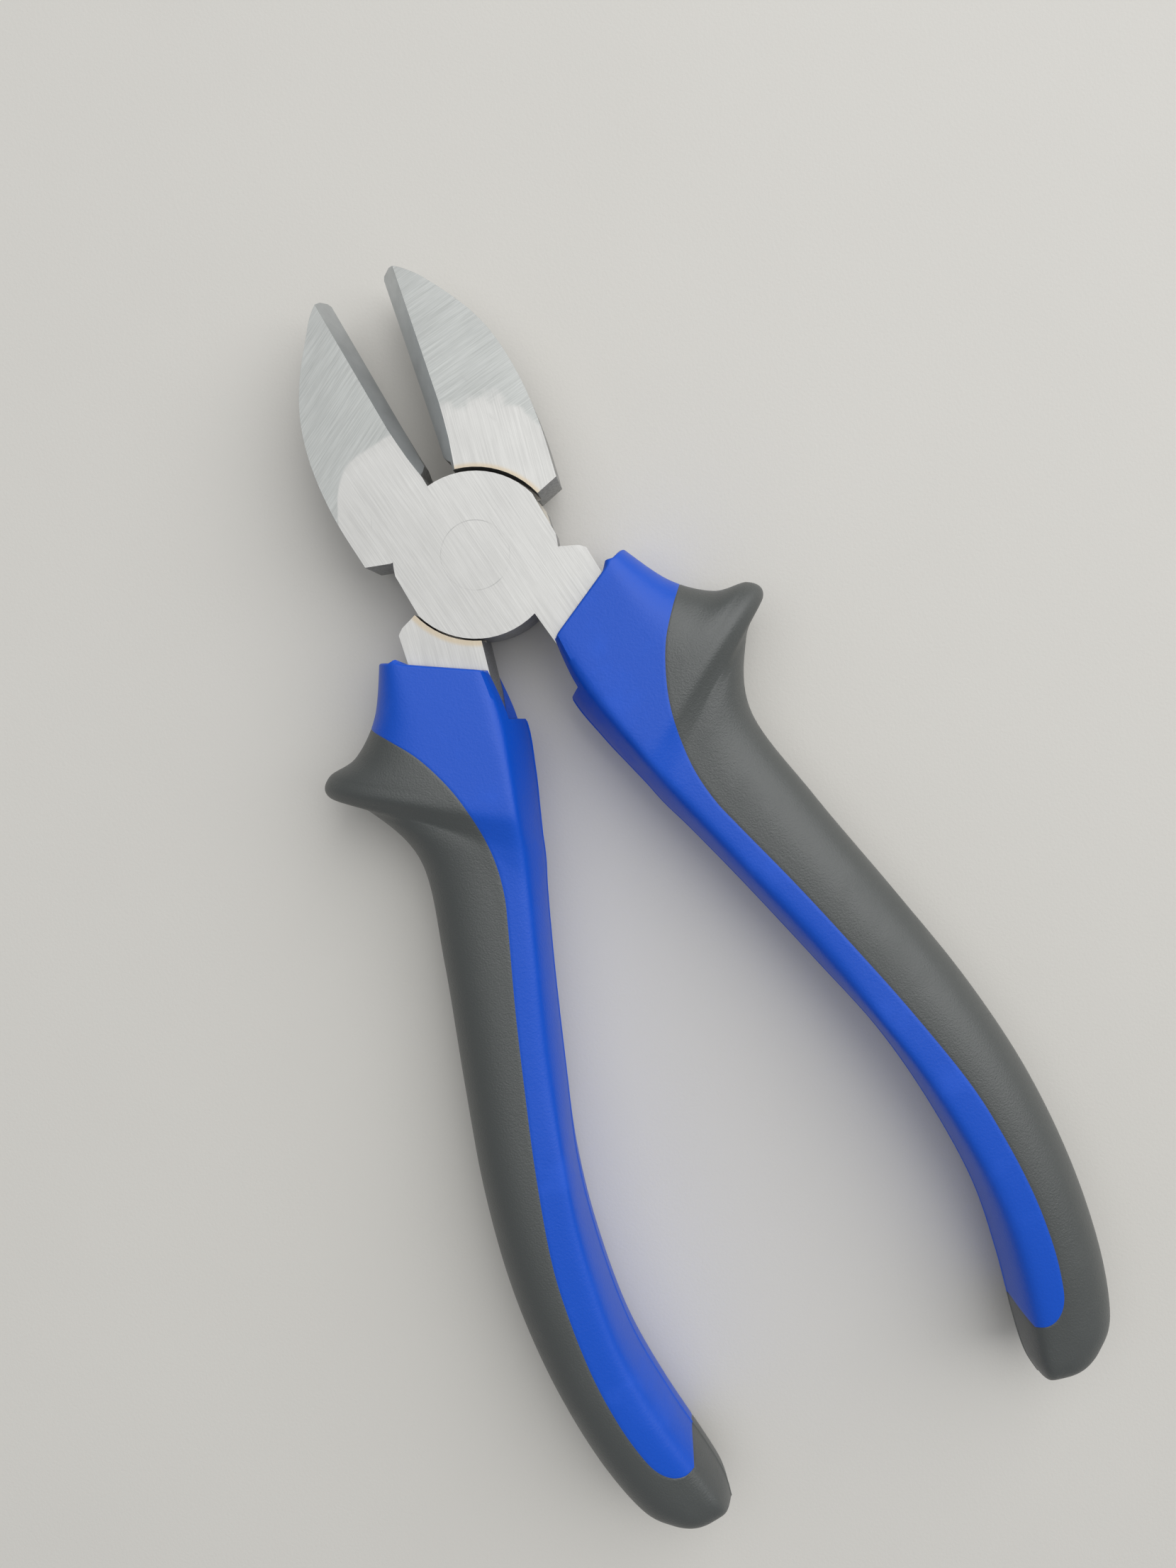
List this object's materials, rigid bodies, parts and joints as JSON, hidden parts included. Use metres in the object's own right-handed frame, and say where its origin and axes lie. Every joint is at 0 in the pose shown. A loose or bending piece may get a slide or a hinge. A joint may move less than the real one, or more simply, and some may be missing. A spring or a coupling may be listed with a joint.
{
  "type": "diagonal side cutter",
  "caption": "Hand pliers for cutting wire: two bevelled steel jaws riveted in a lap joint, with two-colour moulded handles that have a thumb guard.",
  "frame": {"origin": "the pivot axis where it meets the ground back face of the head, flush with the back of the rivet", "axes": "+Y from the pivot to the blade tips along the bisector of the two blades; +Z along the pivot axis from the back face to the bevelled front face; +X to the right seen from the front"},
  "size_m": [0.0724, 0.1616, 0.0161],
  "materials": {
    "ground_steel": "coarse ground faces, dark tempered edges",
    "rivet_steel": "ground flush with the head",
    "sleeve_plastic": "fine satin moulding texture, blue",
    "grip_rubber": "matte soft-touch moulding, dark grey"
  },
  "bodies": {
    "rear": {"rear_half": "ground_steel", "left_sleeve": "sleeve_plastic", "left_grip": "grip_rubber"},
    "front": {"front_half": "ground_steel", "pivot_rivet": "rivet_steel", "right_sleeve": "sleeve_plastic", "right_grip": "grip_rubber"}
  },
  "joints": [
    {"name": "pivot", "type": "hinge", "parent": "rear", "child": "front", "pos_m": [0, 0, 0.00475], "axis": [0, 0, 1], "range_deg": [-11.5, 38]}
  ]
}
